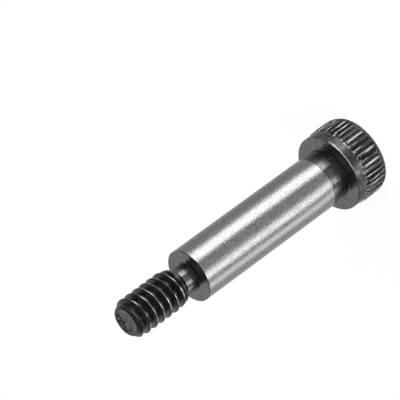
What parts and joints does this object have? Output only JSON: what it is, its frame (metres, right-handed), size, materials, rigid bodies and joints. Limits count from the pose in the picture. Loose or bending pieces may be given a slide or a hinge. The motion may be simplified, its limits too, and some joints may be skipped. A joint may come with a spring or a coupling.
{
  "type": "shoulder bolt",
  "caption": "Shoulder bolt with a knurled hexagon-socket head, a ground cylindrical shoulder for a part to turn or slide on, and a smaller threaded end.",
  "frame": {"origin": "centre of the head's outer face, which holds the socket; the bolt stands on it", "axes": "+Z along the bolt's axis, from the head to the end of the thread"},
  "size_m": [0.0096, 0.0096, 0.0364],
  "materials": {
    "steel": "bright ground shoulder; blackened satin head, necks and thread"
  },
  "bodies": {
    "root": {"shoulder_bolt": "steel"}
  },
  "joints": []
}
